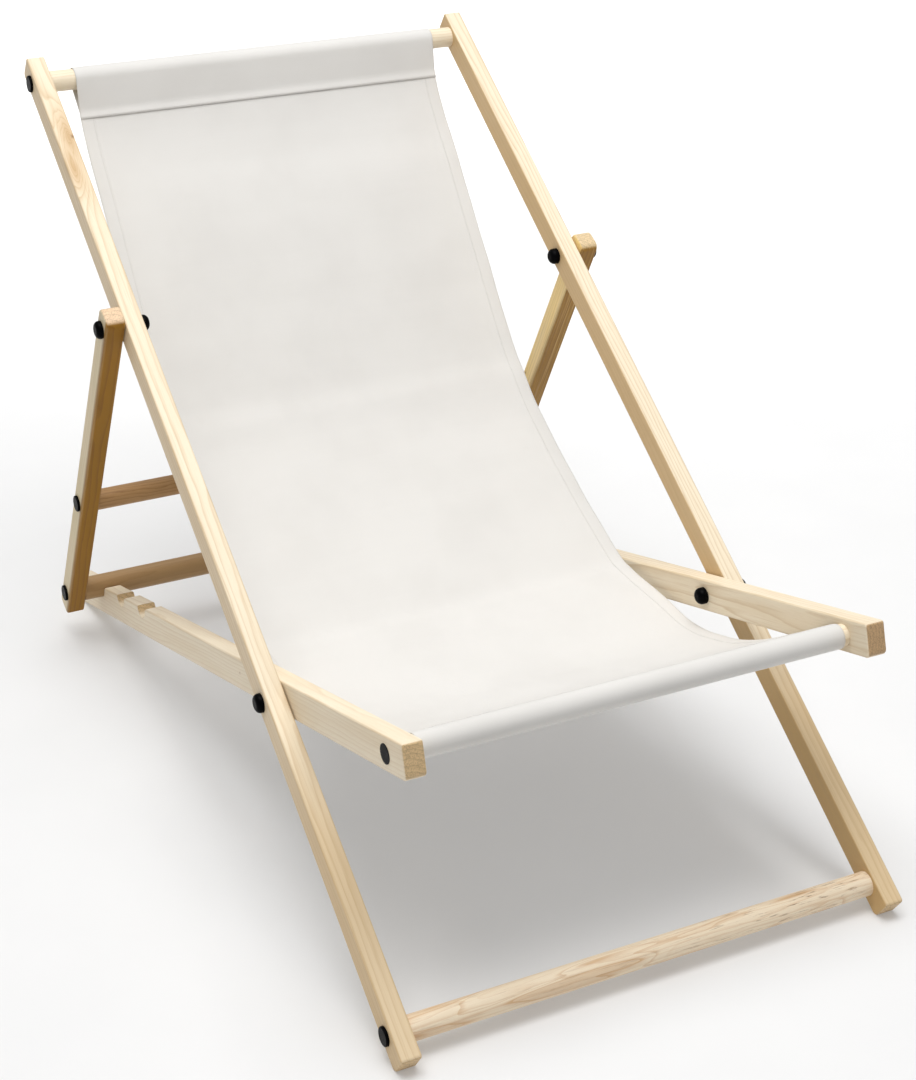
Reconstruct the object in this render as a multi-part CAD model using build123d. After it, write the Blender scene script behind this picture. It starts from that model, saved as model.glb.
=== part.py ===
from build123d import *
import os
from math import acos, asin, atan2, cos, degrees, hypot, pi, sin

# Folding deck chair, millimetres. X runs across the chair, the chair faces -Y, Z is up.
# Three wooden frames turn on two pairs of bolts: the long back frame, the seat frame inside it
# and the prop frame outside it, whose lower rung sits in a notch of the seat rails.
# "left" is the -X side. Each frame is built flat, along its own Y, and then turned about X.

# Wood sections
RAIL_THICK = 21
BACK_DEPTH = 28
SEAT_DEPTH = 34
PROP_DEPTH = 27
EDGE_ROUND = 2
END_ROUND = 6
END_EASE = 3
GAP = 1
INNER_HALF = 253
SEAT_IN = INNER_HALF - GAP - RAIL_THICK
PROP_IN = INNER_HALF + RAIL_THICK + GAP

# Back frame, measured from the seat pivot along the rail
BACK_LINE = 15.5
FOOT_END = -373.5
FOOT_RUNG = -342
PROP_PIVOT = 456.6
TOP_RUNG = 800.7
TOP_END = 826.5

# Seat frame, measured from the seat pivot towards the back of the chair
SEAT_FRONT = -288
FRONT_RUNG = -249
SEAT_REAR = 733
NOTCH_REAR = 615.6
NOTCH_PITCH = 82
NOTCH_COUNT = 3
NOTCH_RISE = 1.5
NOTCH_RADIUS = 14.3
NOTCH_RAMP = pi / 3
FLOOR_CUT = 4.9

# Prop frame, measured from the prop pivot down the leg
PROP_LINE = 14
PROP_TOP = -22
PROP_TOP_ROUND = 8
PROP_UPPER_RUNG = 296.6
PROP_LOWER_RUNG = 472.3
PROP_END = 500.4

# Rungs
TOP_RUNG_R = 12
FOOT_RUNG_R = 12.5
FRONT_RUNG_R = 11
PROP_UPPER_R = 12
PROP_LOWER_R = 14

# Pivot bolts and their covers
BOLT_R = 3
BOLT_FIT = 0.05
RUN_GAP = 0.05
HEX_FLATS = 10
HEAD_HIGH = 4
NUT_HIGH = 5
BOLT_TAIL = 1.5
SPACER_R = 9
HEAD_COVER_R = 9.75
HEAD_COVER_HIGH = 7
NUT_COVER_R = 9
NUT_COVER_HIGH = 9.5
COVER_BORE = 6

# Wood screws in the rung ends and their covers
SCREW_R = 2.2
SCREW_IN = 40
SCREW_TIP = 6
SCREW_HEAD_R = 4.6
SCREW_HEAD_HIGH = 2
SCREW_COVER_R = 9.5
SCREW_COVER_HIGH = 3
SCREW_COVER_BORE = 5
FLAT_COVER_HIGH = 0.6
SINK_DEEP = 2.4

# Canvas
CANVAS_HALF = 225
CANVAS_THICK = 1.2
SLEEVE_GAP = 0.5
TOP_SEAM = 38
FRONT_SEAM = 36
CANVAS_BEND = 55

# Angle of the seat rails below the back rails, from the triangle seat pivot, prop pivot, rung
rung_high = SEAT_DEPTH / 2 + NOTCH_RISE
reach = hypot(NOTCH_REAR, rung_high)
at_pivot = acos((PROP_PIVOT**2 + reach**2 - PROP_LOWER_RUNG**2) / (2 * PROP_PIVOT * reach))
opening = at_pivot + atan2(rung_high, NOTCH_REAR)

# Lean of the back rails, so the rounded foot corner and the flat under the seat rails' ends
# stand on the same floor
foot_s = FOOT_END + END_ROUND
foot_n = BACK_LINE - BACK_DEPTH + END_ROUND
seat_sin = SEAT_REAR * cos(opening) - SEAT_DEPTH / 2 * sin(opening)
seat_cos = -SEAT_REAR * sin(opening) - SEAT_DEPTH / 2 * cos(opening)
lever = hypot(foot_s - seat_sin, foot_n - seat_cos)
lean = pi - asin((END_ROUND + FLOOR_CUT) / lever) - atan2(foot_n - seat_cos, foot_s - seat_sin)
pivot_high = END_ROUND - foot_s * sin(lean) - foot_n * cos(lean)

# The three frames at rest, turned about X, with the seat pivot over Y = 0 for now
seat_tilt = lean - opening
prop_y = PROP_PIVOT * cos(lean)
prop_z = PROP_PIVOT * sin(lean)
rung_y = reach * cos(lean - at_pivot)
rung_z = reach * sin(lean - at_pivot)
prop_tilt = atan2(rung_z - prop_z, rung_y - prop_y)
back = Pos(0, 0, pivot_high) * Rot(degrees(lean), 0, 0)
seat = Pos(0, 0, pivot_high) * Rot(degrees(seat_tilt), 0, 0)
prop = Pos(0, prop_y, pivot_high + prop_z) * Rot(degrees(prop_tilt), 0, 0)


def bar(x_in, start, end, low, high, rounds):
    """A rail or leg with its end corners rounded and every long edge eased."""
    solid = Pos(x_in + RAIL_THICK / 2, (start + end) / 2, (low + high) / 2)
    solid = solid * Box(RAIL_THICK, end - start, high - low)
    for y, z, radius in rounds:
        corner = [e for e in solid.edges().filter_by(Axis.X)
                  if abs(e.center().Y - y) < 0.1 and abs(e.center().Z - z) < 0.1]
        solid = fillet(corner, radius)
    sides = solid.faces().filter_by(Axis.X)
    return fillet(sides.edges(), EDGE_ROUND)


def rod(radius, x0, x1, y=0, z=0):
    """A cylinder along X from x0 to x1."""
    return Pos((x0 + x1) / 2, y, z) * Rot(0, 90, 0) * Cylinder(radius, abs(x1 - x0))


def hexagon(x0, high, y=0):
    """A hexagon head or nut along X."""
    outline = Pos(y, 0) * RegularPolygon(HEX_FLATS / 2, 6, major_radius=False)
    return extrude(Plane.YZ.offset(x0) * outline, high)


def ring(radius, bore, x0, x1, y=0):
    """A flat washer round X."""
    return rod(radius, x0, x1, y) - rod(bore, x0 - 1, x1 + 1, y)


def cover(face, out, radius, high, bore, deep, curve, y=0):
    """A plastic cover on the face at X = face, growing towards +X (out = 1) or -X (out = -1)."""
    solid = rod(radius, face, face + out * high, y)
    crown = solid.edges().filter_by(GeomType.CIRCLE).sort_by(Axis.X)
    solid = fillet(crown[-1 if out > 0 else 0], curve)
    return solid - rod(bore, face - out, face + out * deep, y)


def screw(face, rung_end, y):
    """A wood screw from the face of a rail into the end of a rung."""
    tip = rung_end - SCREW_IN
    shank = rod(SCREW_R, tip + SCREW_TIP, face, y)
    point = Pos(tip + SCREW_TIP / 2, y, 0) * Rot(0, -90, 0) * Cone(SCREW_R, 0.3, SCREW_TIP)
    head = rod(SCREW_HEAD_R, face, face + SCREW_HEAD_HIGH, y)
    head = fillet(head.edges().filter_by(GeomType.CIRCLE).sort_by(Axis.X)[-1], 1.2)
    return shank + point + head


def both(solid):
    """A solid of the right side with its mirror image on the left."""
    return solid + mirror(solid, Plane.YZ)


def rung(radius, half, y, x_side):
    """A round rung between two rails, with a screw hole in each end."""
    hole = rod(SCREW_R, half - SCREW_IN, half + 1, y)
    return rod(radius, -half, half, y) - both(hole)


def bolt(head_face, nut_face, y):
    """A hexagon bolt with its head on the outside and its tail just through the nut."""
    tail = nut_face - NUT_HIGH - BOLT_TAIL
    return rod(BOLT_R, tail, head_face, y) + hexagon(head_face, HEAD_HIGH, y)


def teardrop(y, z, radius, tip_y, tip_z, tip_radius):
    """The outline of a sleeve round a rung, drawn in to its seam."""
    circle = (Pos(y, z) * Circle(radius)).edges()
    tip = (Pos(tip_y, tip_z) * Circle(tip_radius)).edges()
    return make_hull(circle + tip)


def sleeve(y, z, radius, tip_y, tip_z):
    """Two layers of canvas round a rung, closed at the seam."""
    inner = radius + SLEEVE_GAP
    outer = inner + CANVAS_THICK
    skin = CANVAS_THICK
    seam_y = tip_y + (y - tip_y) * 0.2
    seam_z = tip_z + (z - tip_z) * 0.2
    return teardrop(y, z, outer, tip_y, tip_z, skin) - teardrop(y, z, inner, seam_y, seam_z, 0.4)


parts = {}


def add(name, place, solid):
    """Keeps one piece that crosses the chair."""
    parts[name] = place * solid


def add_pair(name, place, solid):
    """Keeps a right-hand piece and its mirror image on the left."""
    parts[name + "_right"] = place * solid
    parts[name + "_left"] = mirror(place * solid, Plane.YZ)


# Back frame
back_low = BACK_LINE - BACK_DEPTH
back_out = INNER_HALF + RAIL_THICK
screw_bore = SCREW_R + BOLT_FIT
back_rail = bar(INNER_HALF, FOOT_END, TOP_END, back_low, BACK_LINE,
                [(FOOT_END, back_low, END_ROUND), (TOP_END, back_low, END_ROUND),
                 (FOOT_END, BACK_LINE, END_EASE), (TOP_END, BACK_LINE, END_EASE)])
for s in (0, PROP_PIVOT):
    back_rail -= rod(BOLT_R + BOLT_FIT, INNER_HALF - 1, back_out + 1, s)
for s in (FOOT_RUNG, TOP_RUNG):
    back_rail -= rod(screw_bore, INNER_HALF - 1, back_out + 1, s)
add_pair("outer_rail", back, back_rail)
for name, s, radius in (("top_rung", TOP_RUNG, TOP_RUNG_R), ("foot_rung", FOOT_RUNG, FOOT_RUNG_R)):
    add(name, back, rung(radius, INNER_HALF, s, back_out))
    add(name + "_screws", back, both(screw(back_out, INNER_HALF, s)))
    add(name + "_covers", back, both(cover(back_out, 1, SCREW_COVER_R, SCREW_COVER_HIGH,
                                           SCREW_COVER_BORE, SCREW_HEAD_HIGH + 0.2, 1.2, s)))

# Seat frame, with its notches and the flat that stands on the floor
seat_half = SEAT_DEPTH / 2
seat_out = SEAT_IN + RAIL_THICK
seat_rail = bar(SEAT_IN, SEAT_FRONT, SEAT_REAR, -seat_half, seat_half,
                [(SEAT_FRONT, -seat_half, END_ROUND), (SEAT_REAR, seat_half, END_ROUND),
                 (SEAT_FRONT, seat_half, END_EASE)])
for number in range(NOTCH_COUNT):
    t = NOTCH_REAR - number * NOTCH_PITCH
    groove = rod(NOTCH_RADIUS, SEAT_IN - 1, seat_out + 1, t, rung_high)
    lip_y = t - NOTCH_RADIUS * sin(NOTCH_RAMP)
    lip_z = rung_high - NOTCH_RADIUS * cos(NOTCH_RAMP)
    over_y = lip_y - 2 * NOTCH_RADIUS * cos(NOTCH_RAMP)
    over_z = lip_z + 2 * NOTCH_RADIUS * sin(NOTCH_RAMP)
    ramp = Polygon((t, rung_high), (t, over_z), (over_y, over_z), (lip_y, lip_z), align=None)
    seat_rail -= groove
    seat_rail -= extrude(Plane.YZ.offset(SEAT_IN - 1) * ramp, RAIL_THICK + 2)
seat_rail -= rod(BOLT_R + BOLT_FIT, SEAT_IN - 1, seat_out + 1)
seat_rail -= rod(screw_bore, SEAT_IN - 1, seat_out + 1, FRONT_RUNG)
seat_rail -= rod(SCREW_COVER_BORE, seat_out - SINK_DEEP, seat_out + 1, FRONT_RUNG)
floor_slab = Pos(0, SEAT_REAR * cos(seat_tilt), -50) * Box(4 * INNER_HALF, 400, 100)
add_pair("seat_rail", Pos(0, 0, 0), seat * seat_rail - floor_slab)
add("front_rung", seat, rung(FRONT_RUNG_R, SEAT_IN, FRONT_RUNG, seat_out))
add("front_rung_screws", seat, both(screw(seat_out - SINK_DEEP, SEAT_IN, FRONT_RUNG)))
add("front_rung_covers", seat, both(rod(SCREW_COVER_R, seat_out, seat_out + FLAT_COVER_HIGH, FRONT_RUNG)))

# Prop frame
prop_low = -PROP_LINE
prop_high = PROP_DEPTH - PROP_LINE
prop_out = PROP_IN + RAIL_THICK
prop_leg = bar(PROP_IN, PROP_TOP, PROP_END, prop_low, prop_high,
               [(PROP_TOP, prop_low, PROP_TOP_ROUND), (PROP_TOP, prop_high, PROP_TOP_ROUND),
                (PROP_END, prop_low, END_ROUND), (PROP_END, prop_high, END_ROUND)])
prop_leg -= rod(BOLT_R + BOLT_FIT, PROP_IN - 1, prop_out + 1)
for s in (PROP_UPPER_RUNG, PROP_LOWER_RUNG):
    prop_leg -= rod(screw_bore, PROP_IN - 1, prop_out + 1, s)
add_pair("prop_leg", prop, prop_leg)
for name, s, radius in (("prop_upper_rung", PROP_UPPER_RUNG, PROP_UPPER_R),
                        ("prop_lower_rung", PROP_LOWER_RUNG, PROP_LOWER_R)):
    add(name, prop, rung(radius, PROP_IN, s, prop_out))
    add(name + "_screws", prop, both(screw(prop_out, PROP_IN, s)))
    add(name + "_covers", prop, both(cover(prop_out, 1, SCREW_COVER_R, SCREW_COVER_HIGH,
                                           SCREW_COVER_BORE, SCREW_HEAD_HIGH + 0.2, 1.2, s)))

# Pivots: the bolts stay with the back frame; the seat rails and prop legs turn on them
for name, s, head_face, nut_face, spacer in (
        ("seat_pivot", 0, back_out, SEAT_IN - RUN_GAP, (seat_out + RUN_GAP, INNER_HALF)),
        ("prop_pivot", PROP_PIVOT, prop_out + RUN_GAP, INNER_HALF, (back_out, PROP_IN - RUN_GAP))):
    nut = hexagon(nut_face - NUT_HIGH, NUT_HIGH, s) - rod(BOLT_R, nut_face - 20, nut_face + 1, s)
    add_pair(name + "_bolt", back, bolt(head_face, nut_face, s))
    add_pair(name + "_nut", back, nut)
    add_pair(name + "_spacer", back, ring(SPACER_R, BOLT_R + BOLT_FIT, *spacer, s))
    add_pair(name + "_head_cover", back, cover(head_face, 1, HEAD_COVER_R, HEAD_COVER_HIGH,
                                               COVER_BORE, HEAD_HIGH + 0.3, 5.2, s))
    add_pair(name + "_nut_cover", back, cover(nut_face, -1, NUT_COVER_R, NUT_COVER_HIGH,
                                              COVER_BORE, NUT_HIGH + BOLT_TAIL + 0.3, 6, s))

# Canvas: a sleeve round the top rung, a slack sling, and a sleeve round the front rung
front_y = FRONT_RUNG * cos(opening)
front_z = -FRONT_RUNG * sin(opening)
top_tip = (TOP_RUNG - TOP_SEAM * cos(0.5), -TOP_SEAM * sin(0.5))
small_of_back = (400, -137)
under_seat = (118, -117)
under_knees = (-26, -24)
front_lift = (-82, 50)
toward = atan2(front_lift[1] - front_z, front_lift[0] - front_y)
front_tip = (front_y + FRONT_SEAM * cos(toward), front_z + FRONT_SEAM * sin(toward))
line = FilletPolyline(top_tip, small_of_back, under_seat, under_knees, front_lift, front_tip,
                      radius=CANVAS_BEND)
outline = trace(line, CANVAS_THICK)
outline += sleeve(TOP_RUNG, 0, TOP_RUNG_R, *top_tip)
outline += sleeve(front_y, front_z, FRONT_RUNG_R, *front_tip)
add("sling_canvas", back, extrude(Plane.YZ.offset(-CANVAS_HALF) * outline, 2 * CANVAS_HALF))

# The origin goes under the middle of the whole chair, on the floor
boxes = [solid.bounding_box() for solid in parts.values()]
middle = (min(b.min.Y for b in boxes) + max(b.max.Y for b in boxes)) / 2
home = Pos(0, -middle, 0)

os.makedirs("parts", exist_ok=True)
for name, solid in parts.items():
    export_step(home * solid, f"parts/{name}.step")

print("seat pivot", round(-middle, 3), round(pivot_high, 3))
print("prop pivot", round(prop_y - middle, 3), round(pivot_high + prop_z, 3))
print("lean", round(degrees(lean), 4), "opening", round(degrees(opening), 4))
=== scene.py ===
import bpy
from math import acos, atan2, cos, hypot, pi, radians, sin
from mathutils import Matrix, Vector, noise

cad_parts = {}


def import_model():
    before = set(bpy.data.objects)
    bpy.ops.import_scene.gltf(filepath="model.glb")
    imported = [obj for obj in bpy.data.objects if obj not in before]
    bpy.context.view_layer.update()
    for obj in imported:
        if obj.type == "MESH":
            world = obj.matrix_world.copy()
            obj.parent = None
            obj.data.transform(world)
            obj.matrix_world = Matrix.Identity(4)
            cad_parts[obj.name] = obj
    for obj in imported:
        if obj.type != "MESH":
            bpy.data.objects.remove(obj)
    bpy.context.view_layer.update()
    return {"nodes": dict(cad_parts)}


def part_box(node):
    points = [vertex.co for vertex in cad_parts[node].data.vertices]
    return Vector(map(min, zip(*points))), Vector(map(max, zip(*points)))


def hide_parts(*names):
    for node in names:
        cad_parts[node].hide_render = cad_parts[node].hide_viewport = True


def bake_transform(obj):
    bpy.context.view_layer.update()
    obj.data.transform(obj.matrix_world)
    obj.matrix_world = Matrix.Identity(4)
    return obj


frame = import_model()

# ---------------------------------------------------------------- layout, in millimetres
# The CAD's own figures. The seat pivot is the origin of the back frame's plane: s runs up the
# long rails and n stands out of their front faces.
MM = 0.001
LEAN = radians(34.7098)
OPENING = radians(51.2937)
SEAT_TILT = LEAN - OPENING
PROP_TILT = radians(-62.2477)
SEAT_PIVOT = (-195.606, 220.605)
PROP_PIVOT = (179.740, 480.602)
TOP_RUNG = (800.7, 0.0)
TOP_RUNG_R = 12.0
SEAT_REACH = 249.0
FRONT_RUNG = (-SEAT_REACH * cos(OPENING), SEAT_REACH * sin(OPENING))
FRONT_RUNG_R = 11.0
X, Y, Z = 0, 1, 2


def world(s, n, x=0.0):
    """A point of the back frame's plane as metres in the row frame."""
    y = SEAT_PIVOT[0] + s * cos(LEAN) - n * sin(LEAN)
    z = SEAT_PIVOT[1] + s * sin(LEAN) + n * cos(LEAN)
    return Vector((x * MM, y * MM, z * MM))


# ---------------------------------------------------------------- camera
camera_data = bpy.data.cameras.new("camera")
camera_data.lens = 71.77
camera_data.sensor_width = 36
camera_data.shift_x = 0.0147
camera_data.shift_y = -0.085
camera_data.clip_end = 50
camera = bpy.data.objects.new("camera", camera_data)
camera.location = (-0.91544, -1.88555, 1.29394)
camera.rotation_euler = (radians(65.9396), radians(-0.1514), radians(-26.2469))
bpy.context.collection.objects.link(camera)
bpy.context.scene.camera = camera
bpy.context.scene.view_settings.view_transform = "Standard"


# ---------------------------------------------------------------- node helpers
class Nodes:
    """Builds a material's node tree with short calls."""

    def __init__(self, name):
        self.material = bpy.data.materials.new(name)
        self.material.use_nodes = True
        self.tree = self.material.node_tree
        self.tree.nodes.clear()
        self.shader = self.tree.nodes.new("ShaderNodeBsdfPrincipled")
        output = self.tree.nodes.new("ShaderNodeOutputMaterial")
        self.tree.links.new(self.shader.outputs[0], output.inputs[0])

    def put(self, socket, value):
        """Links a socket, or sets a plain value on it."""
        if isinstance(value, bpy.types.NodeSocket):
            self.tree.links.new(value, socket)
        else:
            socket.default_value = value

    def math(self, operation, a, b=0.0, c=0.0):
        node = self.tree.nodes.new("ShaderNodeMath")
        node.operation = operation
        for socket, value in zip(node.inputs, (a, b, c)):
            self.put(socket, value)
        return node.outputs[0]

    def product(self, a, b):
        return self.math("MULTIPLY", a, b)

    def vector(self, operation, a, b=(0, 0, 0)):
        node = self.tree.nodes.new("ShaderNodeVectorMath")
        node.operation = operation
        self.put(node.inputs[0], a)
        self.put(node.inputs[1], b)
        return node.outputs["Value" if operation == "LENGTH" else "Vector"]

    def scaled(self, vector, factor):
        node = self.tree.nodes.new("ShaderNodeVectorMath")
        node.operation = "SCALE"
        self.put(node.inputs[0], vector)
        node.inputs["Scale"].default_value = factor
        return node.outputs["Vector"]

    def coordinates(self, output="Object"):
        return self.tree.nodes.new("ShaderNodeTexCoord").outputs[output]

    def mapping(self, vector, location=(0, 0, 0), rotation=(0, 0, 0), scale=(1, 1, 1)):
        node = self.tree.nodes.new("ShaderNodeMapping")
        self.put(node.inputs["Vector"], vector)
        node.inputs["Location"].default_value = location
        node.inputs["Rotation"].default_value = rotation
        node.inputs["Scale"].default_value = scale
        return node.outputs[0]

    def split(self, vector):
        node = self.tree.nodes.new("ShaderNodeSeparateXYZ")
        self.put(node.inputs[0], vector)
        return node.outputs

    def join(self, x, y, z):
        node = self.tree.nodes.new("ShaderNodeCombineXYZ")
        for socket, value in zip(node.inputs, (x, y, z)):
            self.put(socket, value)
        return node.outputs[0]

    def noise(self, vector, scale, detail=3.0, roughness=0.5, distortion=0.0):
        node = self.tree.nodes.new("ShaderNodeTexNoise")
        self.put(node.inputs["Vector"], vector)
        node.inputs["Scale"].default_value = scale
        node.inputs["Detail"].default_value = detail
        node.inputs["Roughness"].default_value = roughness
        node.inputs["Distortion"].default_value = distortion
        return node.outputs["Fac"]

    def grain(self, point, figure, axis, detail=3.0, roughness=0.5, distortion=0.0):
        """Noise drawn out along one axis; figure is its scale across and along that axis."""
        across, along = figure
        scale = [across] * 3
        scale[axis] = along
        return self.noise(self.mapping(point, scale=scale), 1.0, detail, roughness, distortion)

    def ramp(self, value, *stops):
        """A grey ramp through (place, level) stops."""
        node = self.tree.nodes.new("ShaderNodeValToRGB")
        self.put(node.inputs[0], value)
        elements = node.color_ramp.elements
        while len(elements) < len(stops):
            elements.new(0.5)
        for element, (place, grey) in zip(elements, stops):
            element.position = place
            element.color = (grey, grey, grey, 1)
        return node.outputs[0]

    def range(self, value, low, high, to_low=0.0, to_high=1.0):
        node = self.tree.nodes.new("ShaderNodeMapRange")
        node.interpolation_type = "SMOOTHSTEP"
        for socket, number in zip(node.inputs, (value, low, high, to_low, to_high)):
            self.put(socket, number)
        return node.outputs[0]

    def mix(self, share, a, b):
        node = self.tree.nodes.new("ShaderNodeMix")
        node.data_type = "RGBA"
        self.put(node.inputs[0], share)
        for socket, colour in ((node.inputs[6], a), (node.inputs[7], b)):
            self.put(socket, colour if isinstance(colour, bpy.types.NodeSocket) else (*colour, 1))
        return node.outputs[2]

    def layer(self, colour, over, field, low, high, strength):
        """Lays a colour over another where a field rises from low to high."""
        return self.mix(self.product(self.range(field, low, high), strength), colour, over)

    def fall(self, distance, power, rate):
        """1 at no distance, falling to 0 like a bell."""
        return self.math("EXPONENT", self.product(self.math("POWER", distance, power), -rate))

    def bump(self, height, strength, distance, normal=None):
        node = self.tree.nodes.new("ShaderNodeBump")
        self.put(node.inputs["Height"], height)
        node.inputs["Strength"].default_value = strength
        node.inputs["Distance"].default_value = distance
        if normal is not None:
            self.put(node.inputs["Normal"], normal)
        return node.outputs[0]

    def set(self, **values):
        for name, value in values.items():
            self.put(self.shader.inputs[name.replace("_", " ")], value)
        return self.material


def paint(node, material):
    """Gives a CAD piece its material."""
    slots = frame["nodes"][node].data.materials
    slots.clear()
    slots.append(material)


# ---------------------------------------------------------------- wood
PALE = (0.87, 0.765, 0.59)
LINE = (0.55, 0.37, 0.175)
HEART = (0.70, 0.53, 0.32)
SWIRL = (0.54, 0.30, 0.10)
KNOT = (0.22, 0.11, 0.045)
# FOOT_SHADE is a painted shade colour for the legs below the seat, where the seat's shadow falls
FOOT_SHADE = (0.66, 0.44, 0.19)
# SIDE_SHADE is a painted shade colour for rail faces that look to the left
SIDE_SHADE = (0.55, 0.33, 0.10)
GOLD = (0.97, 0.69, 0.21)
HONEY = (0.64, 0.54, 0.32)
# SHADE_AMBER and SHADE_AMBER_LINE are painted shade colours for the prop legs' lower faces
SHADE_AMBER = (0.32, 0.15, 0.008)
SHADE_AMBER_LINE = (0.19, 0.08, 0.008)
ROSE_PALE = (0.44, 0.255, 0.105)
ROSE_LINE = (0.24, 0.115, 0.042)

# How dark the wood is from one yearly ring to the next: pale early wood, then a dark line
RAIL_RING = ((0.0, 0.04), (0.50, 0.16), (0.76, 0.55), (0.90, 1.0), (0.97, 0.55), (1.0, 0.04))
RUNG_RING = ((0.0, 0.03), (0.55, 0.14), (0.80, 0.60), (0.92, 1.0), (0.98, 0.4), (1.0, 0.03))


def ring_radius(m, along, across, pith, lean, slow, slow_bend, wander, wander_bend):
    """How far a point is from the middle of the tree, whose rings lean and wander."""
    first, second = (m.math("SUBTRACT", m.math("MULTIPLY_ADD", along, tilt, side), middle)
                     for side, tilt, middle in zip(across, lean, pith))
    radius = m.vector("LENGTH", m.join(0.0, first, second))
    radius = m.math("MULTIPLY_ADD", slow, slow_bend, radius)
    return m.math("MULTIPLY_ADD", wander, wander_bend, radius)


def knotted(m, local, radius, wander, ring, knots):
    """Bends the rings round the knots; also gives the share of swirl and of dark core."""
    swirl = core = 0.0
    for *place, size, stretch, dark in knots:
        offset = m.mapping(m.vector("SUBTRACT", local, place),
                           scale=(1 / size, 1 / (size * stretch), 1 / size))
        gap = m.math("MULTIPLY_ADD", wander, 0.8, m.vector("LENGTH", offset))
        hill = m.fall(gap, 2.0, 0.55)
        radius = m.math("MULTIPLY_ADD", hill, 3.0 * ring * size / 4, radius)
        swirl = m.math("MAXIMUM", swirl, m.product(hill, min(1.0, size / 6)))
        core = m.math("MAXIMUM", core, m.product(m.fall(gap, 4.0, 2.0), dark))
    return radius, swirl, core


def long_edges(m, name, faces, x, z):
    """1 along the rounded long edges of a rail and 0 on its faces."""
    low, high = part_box(name)
    middle = (low[X] + high[X]) / 2 / MM
    half = (high[X] - low[X]) / 2 / MM
    from_side = m.math("SUBTRACT", half, m.math("ABSOLUTE", m.math("SUBTRACT", x, middle)))
    from_face = m.math("MINIMUM", m.math("SUBTRACT", faces[1], z), m.math("SUBTRACT", z, faces[0]))
    return m.range(m.math("ADD", from_side, from_face), 0.3, 2.6, 1.0, 0.0)


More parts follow.
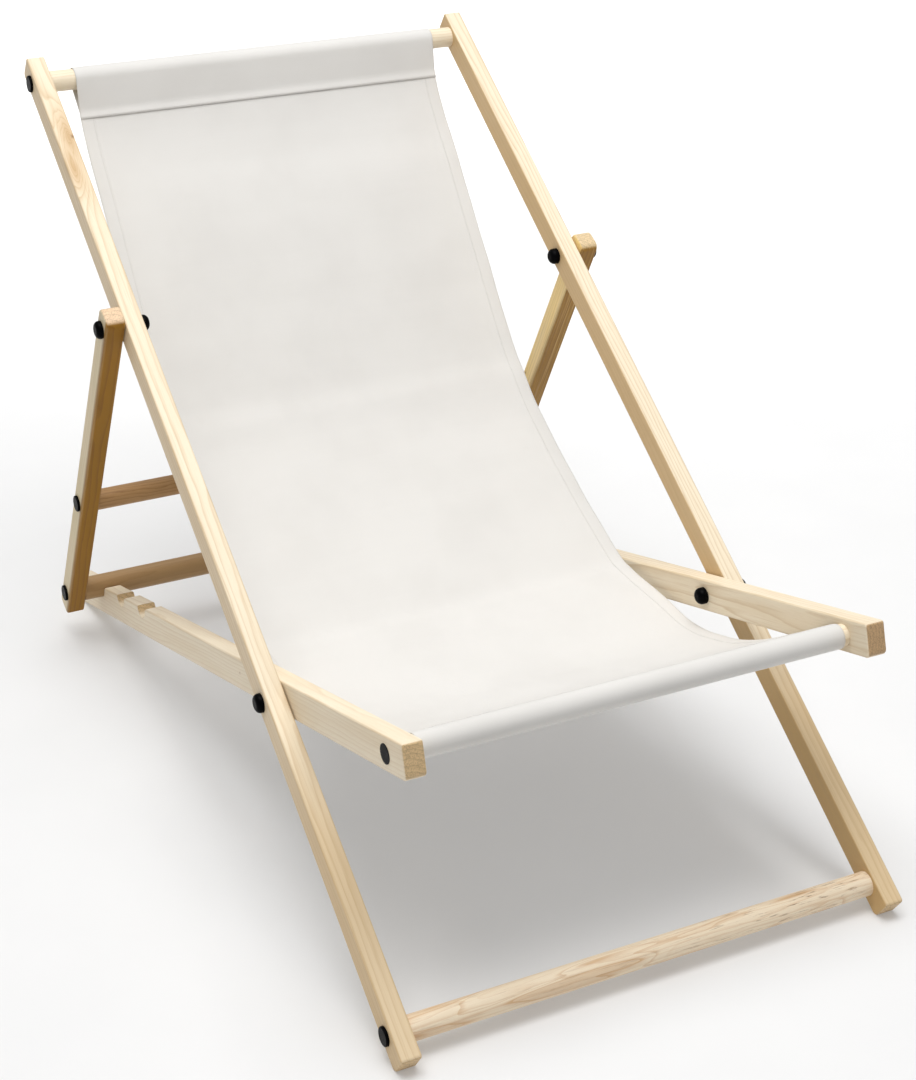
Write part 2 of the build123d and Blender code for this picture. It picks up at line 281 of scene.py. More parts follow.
def rail_wood(name, tilt, pivot, faces, seed, pith, ring, contrast, knots=(), shaded_face=0.0,
              flame=0.0, tint=None, shaded_foot=0.0, shaded_side=0.0, end_tone=(0.70, 0.50, 0.27)):
    """Planed softwood whose grain runs along the piece.

    tilt and pivot give the piece's own axes and faces its lower and upper face; pith is where the
    middle of the tree lies across the piece, in millimetres; knots are (x, y, z, radius, stretch,
    darkness) in the piece's axes; shaded_face darkens the lower face with painted amber shade and flame
    lets the shade lick up the piece in tongues; tint is a colour that all its faces take on in part;
    shaded_foot paints shade that turns the wood browner on the leg below the seat, and shaded_side
    paints shade that turns its left-facing side browner.
    """
    m = Nodes(name)
    turn = (-tilt, 0, 0)
    start = Matrix.Rotation(-tilt, 3, "X") @ Vector((0, -pivot[0] * MM, -pivot[1] * MM))
    local = m.scaled(m.mapping(m.coordinates(), rotation=turn, location=start), 1 / MM)
    x, y, z = m.split(local)
    seeded = m.vector("ADD", local, (seed * 37.0, seed * 91.0, seed * 53.0))

    # The figure, from the slow wandering of the rings to the finest fibres
    slow = m.grain(seeded, (0.02, 0.0022), Y, 2.0)
    wander = m.grain(seeded, (0.10, 0.011), Y)
    tone = m.grain(seeded, (0.045, 0.0045), Y, 2.0)
    strand = m.grain(seeded, (0.55, 0.009), Y, 3.0, 0.6)
    fibre = m.grain(seeded, (2.6, 0.055), Y, 4.0, 0.65)
    fine = m.grain(seeded, (7.5, 0.22), Y, 3.0, 0.7)
    worn = m.grain(seeded, (0.25, 0.012), Y, 4.0, 0.6)
    speck = m.grain(seeded, (0.9, 0.9), Y, 4.0, 0.75)

    radius = ring_radius(m, y, (x, z), pith, (0.010, -0.006), slow, 26.0, wander, 5.0)
    radius, swirl, core = knotted(m, local, radius, wander, ring, knots)
    late = m.ramp(m.math("FRACT", m.math("DIVIDE", radius, ring)), *RAIL_RING)
    lines = m.product(late, m.range(slow, 0.25, 0.75, 0.5 * contrast, contrast))

    # Tone, then swirl, painted shade below the seat, tint and painted shade on the left-facing side,
    # then the lines over them
    colour = m.mix(m.range(tone, 0.35, 0.75, 0.0, 0.30), PALE, HEART)
    if knots:
        lines = m.math("MAXIMUM", lines, m.product(late, m.product(swirl, 0.95)))
        colour = m.mix(m.product(swirl, 0.75), colour, SWIRL)
    # Painted shade: the wood turns browner on the leg below the seat, where the seat's shadow falls
    if shaded_foot:
        colour = m.mix(m.range(y, -170, -10, shaded_foot, 0.0), colour, FOOT_SHADE)
    if tint:
        colour = m.mix(m.range(tone, 0.30, 0.62, 0.85, 0.51), colour, tint)
    # Painted shade: faces that look to the left are turned browner
    if shaded_side:
        leftward = m.split(m.coordinates("Normal"))[X]
        colour = m.mix(m.range(leftward, -0.9, -0.5, shaded_side, 0.0), colour, SIDE_SHADE)
    colour = m.mix(lines, colour, LINE)
    colour = m.layer(colour, LINE, strand, 0.52, 0.72, 0.42 * contrast)
    colour = m.layer(colour, LINE, fibre, 0.48, 0.80, 0.28)
    colour = m.layer(colour, HEART, fine, 0.58, 0.86, 0.30)
    # Painted shade: the lower face, which looks forward and down, is darkened to amber, in tongues up
    # the piece
    if shaded_face:
        depth = m.math("SUBTRACT", m.product(slow, 40.0 * flame), z)
        tongue = m.math("MULTIPLY_ADD", strand, 24.0 * flame, depth)
        share = m.range(tongue, 6.5 + 29 * flame, 12.0 + 35 * flame, 0.0, shaded_face)
        colour = m.mix(share, colour, m.mix(m.product(late, 0.6), SHADE_AMBER, SHADE_AMBER_LINE))
    if knots:
        colour = m.mix(core, colour, KNOT)

    # The rounded long edges, where the grain is cut across and handling has darkened it
    edge = long_edges(m, name, faces, x, z)
    colour = m.mix(m.product(edge, m.range(worn, 0.3, 0.7, 0.12, 0.60)), colour, LINE)

    # End grain: rings across, speckled pores, drier and browner than the faces
    facing = m.split(m.mapping(m.coordinates("Normal"), rotation=turn))[Y]
    end = m.range(m.math("ABSOLUTE", facing), 0.50, 0.90)
    end_dark = tuple(0.48 * level for level in end_tone)
    cut = m.mix(m.product(late, 0.45), end_tone, end_dark)
    cut = m.layer(cut, end_dark, speck, 0.44, 0.66, 0.75)
    colour = m.mix(end, colour, cut)

    rough = m.range(m.math("ADD", fibre, m.product(late, 0.3)), 0.3, 1.1, 0.52, 0.42)
    relief = m.math("ADD", m.product(fibre, 0.6), m.product(late, 0.35))
    relief = m.math("ADD", relief, m.product(m.product(speck, end), 1.2))
    return m.set(Base_Color=colour, Roughness=rough, Normal=m.bump(relief, 0.35, 0.00025),
                 Specular_IOR_Level=0.28, Coat_Weight=0.05, Coat_Roughness=0.35)


BACK = dict(tilt=LEAN, pivot=SEAT_PIVOT, faces=(-12.5, 15.5))
SEAT = dict(tilt=SEAT_TILT, pivot=SEAT_PIVOT, faces=(-17, 17))
PROP = dict(tilt=PROP_TILT, pivot=PROP_PIVOT, faces=(-14, 13))
RAILS = {
    "outer_rail_left": dict(BACK, seed=1, pith=(-240, 60), ring=5.2, contrast=0.62, shaded_foot=0.45,
                            shaded_side=0.3,
                            knots=((-259, 706, 15.5, 9, 4.4, 0.10), (-266, 662, 15.5, 7, 4.5, 0.06),
                                   (-255.0, 706, 15.5, 5.0, 1.5, 0.95))),
    "outer_rail_right": dict(BACK, seed=2, pith=(300, 40), ring=4.4, contrast=0.55, shaded_foot=0.6,
                             shaded_side=0.7),
    "seat_rail_left": dict(SEAT, seed=3, pith=(-262, -48), ring=4.8, contrast=0.36,
                           knots=((-252, 120, 2, 1.6, 1.6, 0.7),)),
    "seat_rail_right": dict(SEAT, seed=4, pith=(205, 3), ring=4.6, contrast=0.60,
                            end_tone=(0.58, 0.38, 0.20)),
    "prop_leg_left": dict(PROP, seed=5, pith=(-300, -34), ring=5.0, contrast=0.5, shaded_face=1.0,
                          flame=0.12, tint=HONEY, end_tone=(0.86, 0.62, 0.40)),
    "prop_leg_right": dict(PROP, seed=6, pith=(268, -30), ring=4.2, contrast=0.6, shaded_face=0.95,
                           flame=0.5, tint=GOLD, end_tone=(0.80, 0.61, 0.36),
                           knots=((275, 219, 9, 3.0, 1.5, 0.85),)),
}
for node, options in RAILS.items():
    paint(node, rail_wood(node, **options))


def rung_wood(name, pale, line, heart, seed, ring, contrast, pith, streak=0.3, blotch=0.0):
    """A turned rung: the grain runs across the chair and the rings show as long flames."""
    m = Nodes(name)
    low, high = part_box(name)
    axis = (0, (low[Y] + high[Y]) / 2, (low[Z] + high[Z]) / 2)
    local = m.scaled(m.vector("SUBTRACT", m.coordinates(), axis), 1 / MM)
    x, y, z = m.split(local)
    seeded = m.vector("ADD", local, (seed * 61.0, seed * 17.0, seed * 29.0))

    slow = m.grain(seeded, (0.05, 0.006), X, 2.0)
    wander = m.grain(seeded, (0.2, 0.03), X)
    fibre = m.grain(seeded, (2.8, 0.05), X, 4.0, 0.65)
    fine = m.grain(seeded, (8.0, 0.25), X, 3.0, 0.7)
    radius = ring_radius(m, x, (y, z), pith, (0.012, -0.008), slow, 15.0, wander, 3.0)
    late = m.ramp(m.math("FRACT", m.math("DIVIDE", radius, ring)), *RUNG_RING)

    colour = m.mix(m.product(late, contrast), pale, line)
    colour = m.layer(colour, line, fibre, 0.46, 0.74, streak)
    colour = m.layer(colour, heart, fine, 0.56, 0.84, 0.30)
    if blotch:
        # Clouds ringed by contour lines, and dark flecks that crowd towards the right end
        patch = m.grain(seeded, (0.060, 0.0075), X, 1.0, 0.5, 0.3)
        loop = m.math("FRACT", m.product(patch, 8.0))
        figure = m.product(m.range(loop, 0.62, 0.97), m.range(patch, 0.42, 0.55, 0.15, 0.65))
        fleck = m.grain(seeded, (0.50, 0.034), X, 4.0, 0.65, 0.3)
        dark = m.product(m.range(x, -60, 210, 0.20, 0.90), m.range(fleck, 0.54, 0.69))
        colour = m.layer(colour, line, patch, 0.52, 0.62, 0.36 * blotch)
        colour = m.mix(m.product(figure, blotch), colour, line)
        colour = m.mix(m.product(dark, blotch), colour, heart)
    ends = m.range(m.math("ABSOLUTE", m.split(m.coordinates("Normal"))[X]), 0.7, 0.95)
    colour = m.mix(ends, colour, heart)

    rough = m.range(fibre, 0.3, 0.8, 0.48, 0.38)
    relief = m.math("ADD", m.product(fibre, 0.6), m.product(late, 0.3))
    return m.set(Base_Color=colour, Roughness=rough, Normal=m.bump(relief, 0.3, 0.0002),
                 Specular_IOR_Level=0.3, Coat_Weight=0.06, Coat_Roughness=0.3)


SOFTWOOD = dict(pale=PALE, line=LINE, heart=HEART)
RUNGS = {
    "top_rung": dict(SOFTWOOD, seed=7, ring=3.4, contrast=0.35, pith=(30, 18)),
    "foot_rung": dict(pale=(0.92, 0.79, 0.60), line=(0.64, 0.38, 0.18), heart=(0.27, 0.13, 0.05),
                      seed=8, ring=4.6, contrast=0.38, pith=(-6, 26), streak=0.2, blotch=1.0),
    "front_rung": dict(SOFTWOOD, seed=9, ring=3.6, contrast=0.4, pith=(22, -14)),
    "prop_upper_rung": dict(pale=ROSE_PALE, line=ROSE_LINE, heart=ROSE_LINE, seed=10, ring=3.2,
                            contrast=0.6, pith=(14, 16), streak=0.4),
    "prop_lower_rung": dict(pale=(0.42, 0.26, 0.115), line=(0.30, 0.165, 0.065), heart=ROSE_LINE,
                            seed=12, ring=4.4, contrast=0.35, pith=(-34, 20)),
}
for node, options in RUNGS.items():
    paint(node, rung_wood(node, **options))


# ---------------------------------------------------------------- plastic and steel
def moulded(name, colour, worn, roughness, ior):
    """Moulded plastic with a fine spark-eroded skin, faint flow marks and dull rubbed spots."""
    m = Nodes(name)
    point = m.coordinates()
    skin = m.noise(point, 5200.0, 2.0, 0.6)
    flow = m.noise(point, 160.0, 3.0, 0.6)
    rub = m.range(m.noise(point, 420.0, 4.0, 0.7), 0.55, 0.80)
    rough = m.math("ADD", m.range(flow, 0.3, 0.7, roughness - 0.06, roughness + 0.08),
                   m.product(rub, 0.15))
    return m.set(Base_Color=m.mix(m.product(rub, 0.55), colour, worn), Roughness=rough,
                 Normal=m.bump(skin, 0.25, 0.00004), IOR=ior)


def plated(name):
    """Zinc-plated steel, lightly brushed round the turn and dulled in patches."""
    m = Nodes(name)
    point = m.coordinates()
    brushed = m.noise(m.mapping(point, scale=(6000, 700, 700)), 1.0, 3.0, 0.6)
    dull = m.noise(point, 300.0, 4.0, 0.6)
    colour = m.mix(m.range(dull, 0.4, 0.7), (0.66, 0.67, 0.68), (0.50, 0.51, 0.50))
    return m.set(Base_Color=colour, Metallic=1.0, Roughness=m.range(dull, 0.35, 0.7, 0.24, 0.42),
                 Normal=m.bump(brushed, 0.2, 0.00003))


black_plastic = moulded("cover_plastic", (0.0018, 0.0018, 0.0022), (0.004, 0.004, 0.0045), 0.30, 1.10)
pale_plastic = moulded("spacer_plastic", (0.70, 0.69, 0.66), (0.55, 0.54, 0.50), 0.45, 1.46)
zinc_steel = plated("zinc_steel")
for node in frame["nodes"]:
    if node in RAILS or node in RUNGS or node == "sling_canvas":
        continue
    if "cover" in node:
        paint(node, black_plastic)
    elif "spacer" in node:
        paint(node, pale_plastic)
    else:
        paint(node, zinc_steel)


# ---------------------------------------------------------------- canvas: its line from rung to rung
HALF = 225.0
CLOTH = 0.9
LAYER = CLOTH + 0.15
RUNG_GAP = 0.5
TOP_SEAM = 38.0
TOP_SEAM_SLOPE = 0.50
FRONT_SEAM = 36.0
SEAM_ALLOW = 9.0
STEP = 5.0
SLING = ((727, -37.5), (640, -63), (540, -95), (433, -126.5), (392, -133.5), (342, -138.5),
         (240, -133), (126, -116), (96, -104), (60, -82.5), (26, -59.5), (-8, -38), (-34, -15),
         (-52, 7), (-74, 38), (-97, 82), (-121, 138))


def arc(middle, radius, start, stop, pitch=2.2):
    """Points round a circle from one angle to another."""
    count = max(2, int(abs(stop - start) * radius / pitch))
    angles = [start + (stop - start) * i / count for i in range(count + 1)]
    return [(middle[0] + radius * cos(angle), middle[1] + radius * sin(angle)) for angle in angles]


def tangent(point, middle, radius, side):
    """The angle on a circle where a line from the point touches it."""
    dx, dy = point[0] - middle[0], point[1] - middle[1]
    return atan2(dy, dx) + side * acos(radius / hypot(dx, dy))


def lengths_along(line):
    """The distance from the line's start to each of its points."""
    lengths = [0.0]
    for a, b in zip(line, line[1:]):
        lengths.append(lengths[-1] + hypot(b[0] - a[0], b[1] - a[1]))
    return lengths


def even(line, step):
    """The same line with points at an even spacing."""
    lengths = lengths_along(line)
    count = max(1, round(lengths[-1] / step))
    out, k = [], 0
    for i in range(count + 1):
        want = lengths[-1] * i / count
        while k < len(lengths) - 2 and lengths[k + 1] < want:
            k += 1
        t = (want - lengths[k]) / max(1e-9, lengths[k + 1] - lengths[k])
        a, b = line[k], line[k + 1]
        out.append((a[0] + (b[0] - a[0]) * t, a[1] + (b[1] - a[1]) * t))
    return out


def between(a, b, c, d, t):
    """One coordinate of a Catmull-Rom curve, t of the way from b to c."""
    return 0.5 * (2 * b + (c - a) * t + (2 * a - 5 * b + 4 * c - d) * t * t
                  + (3 * b - a - 3 * c + d) * t ** 3)


def smooth(points, step, parts=20):
    """A Catmull-Rom line through the points, at an even spacing."""
    ends = [points[0], *points, points[-1]]
    dense = [tuple(between(*along, i / parts) for along in zip(*four))
             for four in zip(ends, ends[1:], ends[2:], ends[3:]) for i in range(parts)]
    return even([*dense, tuple(points[-1])], step)


# Top sleeve: the cloth comes up behind the rung, goes over it and down in front to its seam
top_r = TOP_RUNG_R + RUNG_GAP + CLOTH / 2
seam_top = (TOP_RUNG[0] - TOP_SEAM * cos(TOP_SEAM_SLOPE), -TOP_SEAM * sin(TOP_SEAM_SLOPE))
down = atan2(SLING[0][1] - seam_top[1], SLING[0][0] - seam_top[0])
flap_seam = (seam_top[0] + LAYER * sin(down), seam_top[1] - LAYER * cos(down))
flap_end = (flap_seam[0] + SEAM_ALLOW * cos(down), flap_seam[1] + SEAM_ALLOW * sin(down))
front_touch = tangent(flap_seam, TOP_RUNG, top_r, -1) % (2 * pi)
back_touch = tangent(seam_top, TOP_RUNG, top_r, 1)
flap = [flap_end, flap_seam] + arc(TOP_RUNG, top_r, front_touch, back_touch)

# Front sleeve: over the front rung, round its front and back under the seat to its seam
front_r = FRONT_RUNG_R + RUNG_GAP + CLOTH / 2
over_touch = tangent(SLING[-1], FRONT_RUNG, front_r, 1)
over = (FRONT_RUNG[0] + front_r * cos(over_touch), FRONT_RUNG[1] + front_r * sin(over_touch))
back_along = atan2(SLING[-1][1] - over[1], SLING[-1][0] - over[0])
under_reach = FRONT_SEAM - 2
under_seam = (over[0] + under_reach * cos(back_along) + LAYER * sin(back_along),
              over[1] + under_reach * sin(back_along) - LAYER * cos(back_along))
under_end = (under_seam[0] + SEAM_ALLOW * cos(back_along),
             under_seam[1] + SEAM_ALLOW * sin(back_along))
under_touch = tangent(under_seam, FRONT_RUNG, front_r, -1) % (2 * pi)
under = arc(FRONT_RUNG, front_r, over_touch, under_touch) + [under_seam, under_end]

# The whole line, from the edge inside the top sleeve to the edge under the front sleeve
path = even(flap[:2], 3.0) + even(flap[1:3], 4.0)[1:] + flap[3:]
path += even([flap[-1], seam_top], 4.0)[1:]
seam_row = len(path) - 1
path += smooth([seam_top, *SLING, over], STEP)[1:]
over_row = len(path) - 1
path += under[1:-2] + even([under[-3], under_seam], 4.0)[1:] + even(under[-2:], 3.0)[1:]
lengths = lengths_along(path)
cut_length = lengths[-1]


def path_normal(row):
    """The line's unit normal at a row, towards the sitter's side of the cloth."""
    a, b = path[max(0, row - 1)], path[min(len(path) - 1, row + 1)]
    dx, dy = b[0] - a[0], b[1] - a[1]
    size = hypot(dx, dy)
    return (dy / size, -dx / size)


normals = [path_normal(row) for row in range(len(path))]

# ---------------------------------------------------------------- canvas: how it hangs and is sewn
SEED = 11.0
HEM = 17.0
HEM_STITCH = 2.5
PUCKER_END = 75.0


def free(row):
    """How far a row of the cloth is from the sleeves: 0 on them and their laps, 1 in the open."""
    low, high = lengths[seam_row], lengths[over_row]
    at = lengths[row]
    if at <= low or at >= high:
        return 0.0
    from_top = max(0.0, at - low - SEAM_ALLOW - 2) / 85.0
    from_front = max(0.0, high - at - FRONT_SEAM - SEAM_ALLOW - 3) / 100.0
    rise = min(1.0, from_top, from_front)
    return rise * rise * (3 - 2 * rise)


def ripple(row, x):
    """Gentle waves, hollows and pull lines of slack cloth, in millimetres."""
    at = lengths[row] - lengths[seam_row]
    side = 3.0 if x > 0 else -3.0
    broad = noise.noise(Vector((x * 0.0060, at * 0.0042, SEED)))
    cross = noise.noise(Vector((x * 0.0030, at * 0.020, SEED + 5)))
    fold = noise.noise(Vector((x * 0.016 + at * 0.004, at * 0.010, SEED + 9)))
    flutter = noise.noise(Vector((at * 0.018, side, SEED + 2)))
    hollow = 1 - (x / HALF) ** 2
    edge = max(0.0, (abs(x) - HALF + 30) / 30) ** 2
    wave = free(row) * (1.5 * broad + 0.9 * cross + 0.5 * fold - 4.0 * hollow + 1.4 * edge * flutter)
    pucker_start = SEAM_ALLOW + 2
    if not pucker_start < at < PUCKER_END:
        return wave
    fade = (1 - at / PUCKER_END) ** 2 * min(1.0, (at - pucker_start) / 6)
    return wave + fade * 0.55 * noise.noise(Vector((x * 0.075, at * 0.006, SEED + 12)))


def sewn(x):
    """The soft ridge where the side hem is turned under and stitched."""
    from_edge = HALF - abs(x)
    ridge = 0.35 if from_edge < HEM else 0.35 * max(0.0, 1 - (from_edge - HEM) / 3.0)
    return ridge - 0.30 * max(0.0, 1 - abs(from_edge - HEM + HEM_STITCH) / 1.6)


def cloth_point(row, x, lift=0.0):
    """A point of the cloth's middle layer, lifted along its normal, in the row frame."""
    s, n = path[row]
    a, b = normals[row]
    out = ripple(row, x) + lift
    return world(s + a * out, n + b * out, x)


# ---------------------------------------------------------------- canvas: mesh
HEM_COLUMNS = (0.0, 1.5, 4.0, 8.0, HEM - 4.2, HEM - HEM_STITCH, HEM - 0.8, HEM, HEM + 1.2, HEM + 3.2)
OPEN_COLUMNS = 24


def column_places():
    """Where the mesh's columns lie across the cloth: close together at the hems."""
    last = HEM_COLUMNS[-1]
    inside = [last + (HALF - last) * i / OPEN_COLUMNS for i in range(1, OPEN_COLUMNS + 1)]
    left = [-HALF + place for place in [*HEM_COLUMNS, *inside]]
    return left + [-x for x in reversed(left[:-1])]


def upper_lift(row, x):
    """The height of the cloth's upper side above its middle."""
    return CLOTH / 2 + sewn(x) * (1 if seam_row < row < over_row else 0.2)


def lower_lift(row, x):
    """The height of its lower side, which is deeper where the hem doubles the cloth."""
    hemmed = HALF - abs(x) < HEM + 0.1 and seam_row < row < over_row
    return -CLOTH / 2 - (CLOTH * 0.7 if hemmed else 0.0)


def canvas_mesh():
    """The cloth's two sides and its rim, with each point's place on the flat cloth."""
    xs = column_places()
    rows, cols = len(path), len(xs)
    points, flat, faces = [], [], []
    for lift in (upper_lift, lower_lift):
        for row in range(rows):
            for x in xs:
                rounding = 0.35 if HALF - abs(x) < 0.1 else 1.0
                points.append(cloth_point(row, x, lift(row, x) * rounding))
                flat.append((x * MM, lengths[row] * MM))
    side = rows * cols
    for row in range(rows - 1):
        for col in range(cols - 1):
            a = row * cols + col
            b = a + side
            faces.append((a, a + 1, a + cols + 1, a + cols))
            faces.append((b, b + cols, b + cols + 1, b + 1))
    rim = list(range(cols)) + [r * cols + cols - 1 for r in range(1, rows)]
    rim += [(rows - 1) * cols + c for c in range(cols - 2, -1, -1)]
    rim += [r * cols for r in range(rows - 2, 0, -1)]
    for a, b in zip(rim, rim[1:] + rim[:1]):
        faces.append((b, a, a + side, b + side))
    return points, faces, flat


def mesh_piece(name, points, faces, material):
    """A new smooth mesh object in the row frame."""
    mesh = bpy.data.meshes.new(name)
    mesh.from_pydata(points, [], faces)
    mesh.update()
    mesh.polygons.foreach_set("use_smooth", [True] * len(mesh.polygons))
    mesh.materials.append(material)
    piece = bpy.data.objects.new(name, mesh)
    bpy.context.collection.objects.link(piece)
    return piece


def weave(name, warp_colour, weft_colour, shade, soil, pitch=0.62):
    """Plain-woven cotton canvas: threads over and under, slubs, and a soft fuzz at grazing angles."""
    m = Nodes(name)
    uv = m.tree.nodes.new("ShaderNodeUVMap")
    uv.uv_map = "cloth"
    u, v, _ = m.split(uv.outputs[0])
    across, along = m.product(u, 1 / MM), m.product(v, 1 / MM)
    point = m.join(across, along, 0.0)

    # Warp and weft, each a row of round threads that pass over and under in turn
    slub_x = m.noise(m.mapping(point, scale=(1.6, 0.02, 1)), 1.0, 2.0)
    slub_y = m.noise(m.mapping(point, scale=(0.02, 1.6, 1)), 1.0, 2.0)
    end = m.math("MULTIPLY_ADD", slub_x, 0.35, m.math("DIVIDE", across, pitch))
    pick = m.math("MULTIPLY_ADD", slub_y, 0.35, m.math("DIVIDE", along, pitch))
    warp, weft = (m.math("ABSOLUTE", m.math("SINE", m.product(count, pi))) for count in (end, pick))
    cell = m.math("ADD", m.math("FLOOR", end), m.math("FLOOR", pick))
    parity = m.math("ABSOLUTE", m.math("MODULO", cell, 2.0))
    height = m.math("ADD", m.product(warp, m.math("MULTIPLY_ADD", parity, 0.5, 0.35)),
                    m.product(weft, m.math("MULTIPLY_ADD", parity, -0.5, 0.85)))

    # Colour: painted shade in the gaps between threads, then uneven dye, thick slubs and faint soiling
    dye = m.noise(m.mapping(point, scale=(0.010, 0.008, 1)), 1.0, 3.0, 0.55)
    slub = m.math("MAXIMUM", m.range(slub_x, 0.66, 0.80), m.range(slub_y, 0.66, 0.80))
    mark = m.noise(m.mapping(point, scale=(0.03, 0.03, 1)), 1.0, 5.0, 0.65)
    colour = m.mix(parity, warp_colour, weft_colour)
    # Painted shade: the threads darken where they dip into the gaps between them
    colour = m.mix(m.product(m.range(height, 0.15, 0.75, 1.0, 0.0), 0.30), colour, shade)
    colour = m.mix(m.range(dye, 0.35, 0.75, 0.0, 0.16), colour, shade)
    colour = m.mix(m.product(slub, 0.10), colour, shade)
    colour = m.layer(colour, soil, mark, 0.60, 0.80, 0.07)

    crease = m.noise(m.mapping(point, scale=(0.004, 0.045, 1)), 1.0, 3.0, 0.5)
    relief = m.bump(height, 0.30, 0.00016, m.bump(crease, 0.18, 0.0022))
    return m.set(Base_Color=colour, Roughness=m.range(dye, 0.3, 0.7, 0.80, 0.88), Normal=relief,
                 Sheen_Weight=0.18, Sheen_Roughness=0.5, Specular_IOR_Level=0.22)


canvas_cloth = weave("canvas_cloth", (0.745, 0.732, 0.705), (0.70, 0.68, 0.65),
                     (0.52, 0.50, 0.47), (0.46, 0.41, 0.36))
points, faces, flat = canvas_mesh()
canvas = mesh_piece("canvas", points, faces, canvas_cloth)
layer = canvas.data.uv_layers.new(name="cloth")
for loop in canvas.data.loops:
    layer.data[loop.index].uv = flat[loop.vertex_index]

# ---------------------------------------------------------------- stitching
# Rows of thread that dip in and out of the cloth; a stitch's profile is (share of its length, rise)
STITCH = 3.2
STITCH_LONG = 2.5
STITCH_HUMP = ((0.0, -0.0003), (0.18, 0.00018), (0.5, 0.00034), (0.82, 0.00018), (1.0, -0.0003))
THREAD_HALF = 0.00032
THREAD_TOP = 0.00030
THREAD_BOTTOM = 0.00022
stitch_points, stitch_faces = [], []


def stitch(start, end, normal):
    """One stitch, a four-sided hump of thread from start to end."""
    along = end - start
    side = along.cross(normal).normalized() * THREAD_HALF
    up = normal.normalized()
    base = len(stitch_points)
    for t, rise in STITCH_HUMP:
        middle = start + along * t + up * rise
        stitch_points.extend((middle + side, middle + up * THREAD_TOP,
                              middle - side, middle - up * THREAD_BOTTOM))
    for i in range(len(STITCH_HUMP) - 1):
        for k in range(4):
            a, b = base + 4 * i + k, base + 4 * i + (k + 1) % 4
            stitch_faces.append((a, b, b + 4, a + 4))
    last = base + 4 * (len(STITCH_HUMP) - 1)
    stitch_faces.append(tuple(base + k for k in (3, 2, 1, 0)))
    stitch_faces.append(tuple(last + k for k in range(4)))


def outward(row):
    """The cloth's outward direction at a row, in the row frame."""
    return (world(*normals[row]) - world(0, 0)).normalized()


def cross_row(row):
    """Stitches across the cloth at one row of its line."""
    for i in range(int((2 * HALF - 6) / STITCH)):
        x = -HALF + 3 + i * STITCH
        stitch(cloth_point(row, x, CLOTH / 2), cloth_point(row, x + STITCH_LONG, CLOTH / 2),
               outward(row))


def row_at(length):
    """The row nearest to a distance along the cloth."""
    return min(range(len(path)), key=lambda row: abs(lengths[row] - length))


def hem_point(at, x):
    """A point on top of the side hem, with its row."""
    row = max(i for i in range(len(path) - 1) if lengths[i] <= at)
    t = (at - lengths[row]) / (lengths[row + 1] - lengths[row])
    a, b = (cloth_point(r, x, CLOTH / 2 + sewn(x)) for r in (row, row + 1))
    return a.lerp(b, t), row


def side_row(x):
    """Stitches along one side hem."""
    at = lengths[seam_row] + 4
    while at < lengths[over_row] - 2:
        start, _ = hem_point(at, x)
        end, row = hem_point(at + STITCH_LONG, x)
        stitch(start, end, outward(row))
        at += STITCH


def from_under_seam(row):
    return hypot(path[row][0] - under_seam[0], path[row][1] - under_seam[1])


# Two rows in each sleeve's lap, the front seam's row seen from above, and the two side hems
for length in (SEAM_ALLOW - 1, SEAM_ALLOW - 6, cut_length - SEAM_ALLOW + 1, cut_length - SEAM_ALLOW + 6):
    cross_row(row_at(length))
cross_row(min(range(seam_row, over_row), key=from_under_seam))
for side_x in (-HALF + HEM - HEM_STITCH, HALF - HEM + HEM_STITCH):
    side_row(side_x)


def thread(name):
    """Twisted sewing thread."""
    m = Nodes(name)
    twist = m.noise(m.coordinates(), 3200.0, 2.0, 0.6)
    colour = m.mix(m.range(twist, 0.35, 0.65), (0.76, 0.74, 0.71), (0.60, 0.58, 0.55))
    return m.set(Base_Color=colour, Roughness=m.range(twist, 0.3, 0.7, 0.55, 0.75),
                 Normal=m.bump(twist, 0.4, 0.0001), Sheen_Weight=0.2)


stitches = mesh_piece("canvas_stitches", stitch_points, stitch_faces, thread("sewing_thread"))

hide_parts("sling_canvas")
for piece in (canvas, stitches):
    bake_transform(piece)

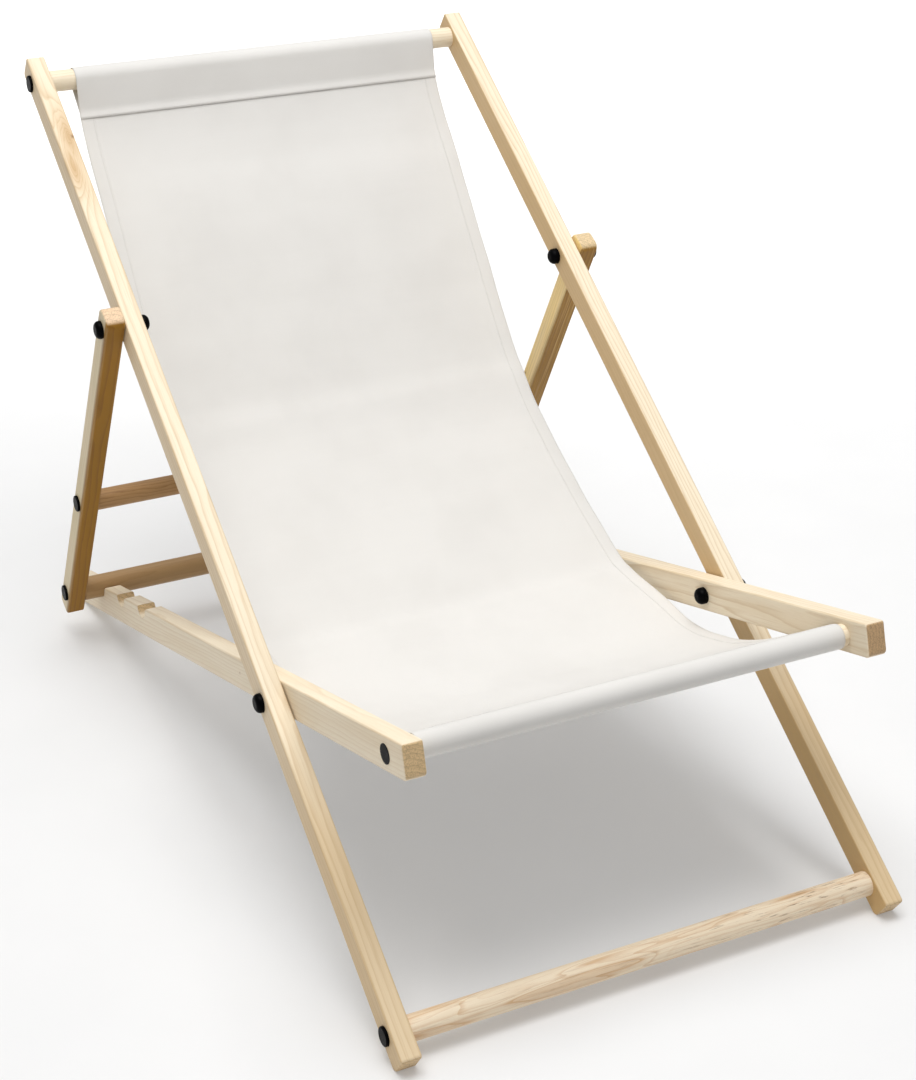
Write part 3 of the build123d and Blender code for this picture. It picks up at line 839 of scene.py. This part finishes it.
# ---------------------------------------------------------------- floor
# The floor glows faintly: painted light that lifts it towards white and lights the chair's underside
# from below
FLOOR_SIZE = 80
floor_nodes = Nodes("floor")
grit = floor_nodes.noise(floor_nodes.coordinates(), 6.0, 3.0)
floor_nodes.set(Base_Color=floor_nodes.mix(grit, (0.61, 0.61, 0.61), (0.65, 0.65, 0.65)),
                Roughness=0.9, Emission_Color=(1, 1, 1, 1), Emission_Strength=0.20)
bpy.ops.mesh.primitive_plane_add(size=FLOOR_SIZE, location=(0, 0, 0))
floor = bpy.context.object
floor.name = "floor"
floor.data.materials.append(floor_nodes.material)

# ---------------------------------------------------------------- light
# The studio's walls: a pale band just over the horizon, dark above it and pale again overhead
STUDIO = ((0.0, 0.62), (0.09, 0.56), (0.13, 0.12), (1.0, 0.62))
studio = bpy.data.worlds.new("studio")
studio.use_nodes = True
tree = studio.node_tree
direction = tree.nodes.new("ShaderNodeTexCoord")
parts = tree.nodes.new("ShaderNodeSeparateXYZ")
glow = tree.nodes.new("ShaderNodeValToRGB")
elements = glow.color_ramp.elements
while len(elements) < len(STUDIO):
    elements.new(0.5)
for element, (height, grey) in zip(elements, STUDIO):
    element.position = height
    element.color = (grey, grey, grey, 1)
tree.links.new(direction.outputs["Generated"], parts.inputs[0])
tree.links.new(parts.outputs[Z], glow.inputs[0])
tree.links.new(glow.outputs[0], tree.nodes["Background"].inputs["Color"])
bpy.context.scene.world = studio


def lamp(name, data, place, aim):
    """Puts a light at a place, turned to what it aims at."""
    light = bpy.data.objects.new(name, data)
    light.location = place
    light.rotation_euler = (Vector(aim) - Vector(place)).to_track_quat("-Z", "Y").to_euler()
    bpy.context.collection.objects.link(light)


def softbox(name, place, aim, size, power, spread=180):
    """A rectangular studio light."""
    data = bpy.data.lights.new(name, "AREA")
    data.shape = "RECTANGLE"
    data.size, data.size_y = size
    data.energy = power
    data.spread = radians(spread)
    lamp(name, data, place, aim)


overhead = bpy.data.lights.new("overhead", "SUN")
overhead.energy = 1.28
overhead.angle = radians(46)
lamp("overhead", overhead, (0, 0, 0), (0.12, -0.05, -1))
softbox("key", (-0.05, -0.30, 1.95), (0.0, -0.05, 0.4), (1.4, 1.0), 15.5)
softbox("background", (1.6, 3.6, 3.0), (1.9, 4.2, 0), (5.0, 4.5), 130, 120)
